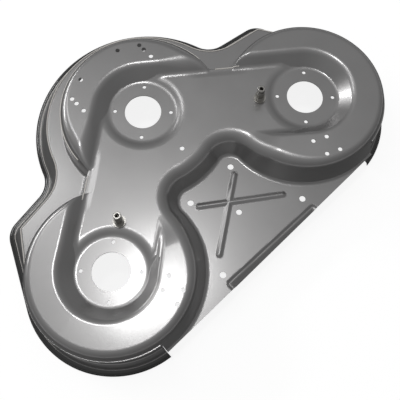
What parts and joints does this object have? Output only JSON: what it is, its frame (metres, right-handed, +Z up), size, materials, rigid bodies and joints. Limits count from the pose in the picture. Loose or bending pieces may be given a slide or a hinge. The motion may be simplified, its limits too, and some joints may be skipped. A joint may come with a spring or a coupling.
{
  "type": "lawn mower deck",
  "caption": "Pressed steel mower deck with three blade drums, spindle seats, a belt trough, a ribbed rear plate, a flanged skirt and idler studs.",
  "frame": {"origin": "centre of the middle spindle bore, on the top face of the spindle seats", "axes": "+Z up along the spindle axes, +Y to the front of the mower, +X to the right seen from above with the front at the top"},
  "size_m": [1.062, 0.7418, 0.162],
  "materials": {
    "deck_paint": "glossy dark grey coat on smooth pressed sheet",
    "stud_steel": "turned steel, dull"
  },
  "bodies": {
    "root": {"deck_shell": "deck_paint", "idler_stud_left": "stud_steel", "idler_stud_right": "stud_steel"}
  },
  "joints": []
}
